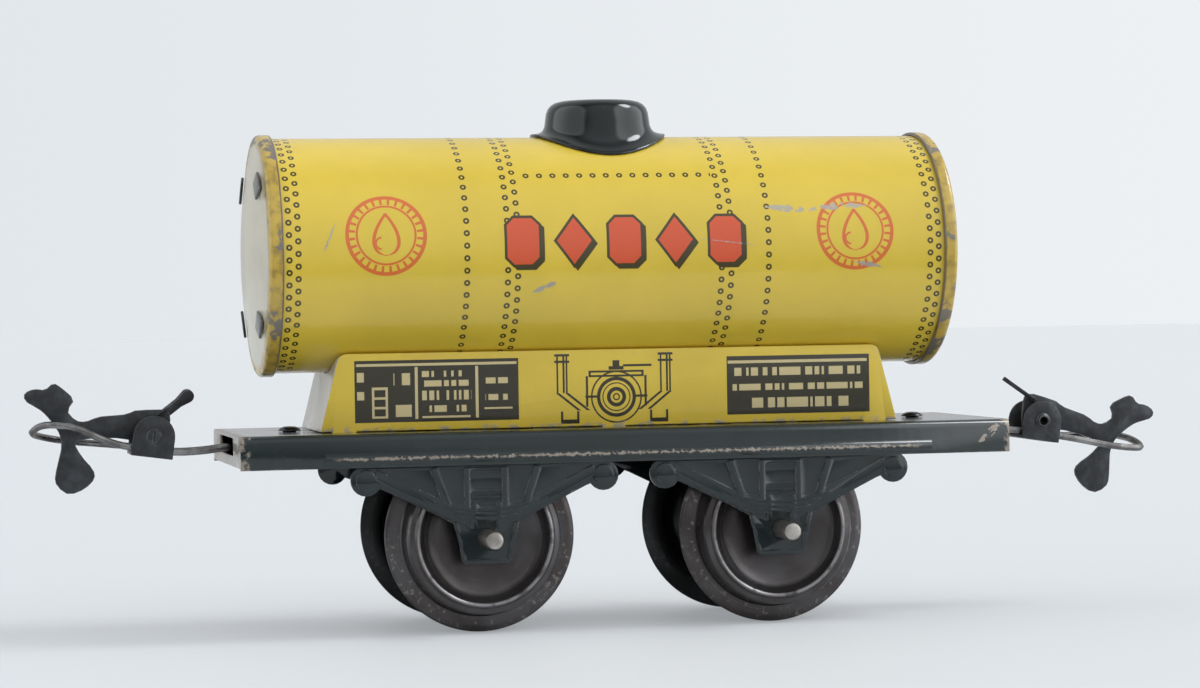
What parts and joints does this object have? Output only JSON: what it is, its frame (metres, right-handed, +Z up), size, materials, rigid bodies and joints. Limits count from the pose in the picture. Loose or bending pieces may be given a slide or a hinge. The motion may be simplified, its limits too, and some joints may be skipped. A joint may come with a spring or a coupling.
{
  "type": "toy railway tank wagon",
  "caption": "Tinplate toy tank wagon: folded tray chassis, pressed wheels, saddle, rolled tank with dome, and swinging link-and-hook couplings.",
  "frame": {"origin": "on the plane that the wheels stand on, midway between the tips of the two hooks and midway across the wagon; the frame's middle lies 0.48 mm to the left of it, because the two couplings reach out by different amounts", "axes": "+X along the wagon towards its right-hand coupling, +Y across it to the far side, +Z up"},
  "size_m": [0.2004, 0.0562, 0.0899],
  "materials": {
    "frame_green": "glossy dark green-black enamel, worn to bare tin on its edges",
    "tank_yellow": "glossy printed tinplate, scratched and chipped at the rims",
    "dome_black": "gloss black enamel with small chips",
    "wheel_bronze": "bronze-brown tinned steel, burnished on the running ridge",
    "bright_steel": "bare drawn wire, lightly tarnished",
    "blackened_steel": "chemically blackened sheet steel, rubbed on its edges"
  },
  "bodies": {
    "wagon_body": {"chassis_frame": "frame_green", "axle_guard_near_left": "frame_green", "axle_guard_near_right": "frame_green", "axle_guard_far_left": "frame_green", "axle_guard_far_right": "frame_green", "tank_saddle": "tank_yellow", "tank_barrel": "tank_yellow", "end_cap_left": "tank_yellow", "end_cap_right": "tank_yellow", "filler_dome": "dome_black", "swing_pivot_left": "dome_black", "swing_pivot_right": "dome_black"},
    "wheelset_left": {"axle_left": "bright_steel", "wheel_near_left": "wheel_bronze", "wheel_far_left": "wheel_bronze"},
    "wheelset_right": {"axle_right": "bright_steel", "wheel_near_right": "wheel_bronze", "wheel_far_right": "wheel_bronze"},
    "coupling_left": {"link_wire_left": "bright_steel", "coupling_bracket_left": "blackened_steel", "hook_rivet_left": "blackened_steel"},
    "hook_left": {"hook_lever_left": "blackened_steel"},
    "coupling_right": {"link_wire_right": "bright_steel", "coupling_bracket_right": "blackened_steel", "hook_rivet_right": "blackened_steel"},
    "hook_right": {"hook_lever_right": "blackened_steel"}
  },
  "joints": [
    {"name": "wheelset_left_roll", "type": "hinge", "parent": "wagon_body", "child": "wheelset_left", "pos_m": [-0.02578, 0, 0.01615], "axis": [0, 1, 0], "continuous": true},
    {"name": "wheelset_right_roll", "type": "hinge", "parent": "wagon_body", "child": "wheelset_right", "pos_m": [0.02482, 0, 0.01615], "axis": [0, 1, 0], "continuous": true},
    {"name": "coupling_left_swing", "type": "hinge", "parent": "wagon_body", "child": "coupling_left", "pos_m": [-0.05578, 0, 0.0315], "axis": [0, 0, 1], "range_deg": [-25, 25]},
    {"name": "coupling_right_swing", "type": "hinge", "parent": "wagon_body", "child": "coupling_right", "pos_m": [0.05482, 0, 0.0315], "axis": [0, 0, 1], "range_deg": [-25, 25]},
    {"name": "hook_left_lift", "type": "hinge", "parent": "coupling_left", "child": "hook_left", "pos_m": [-0.07898, 0, 0.03365], "axis": [0, 1, 0], "range_deg": [0, 40]},
    {"name": "hook_right_lift", "type": "hinge", "parent": "coupling_right", "child": "hook_right", "pos_m": [0.07777, 0, 0.03275], "axis": [0, -1, 0], "range_deg": [0, 40]}
  ]
}
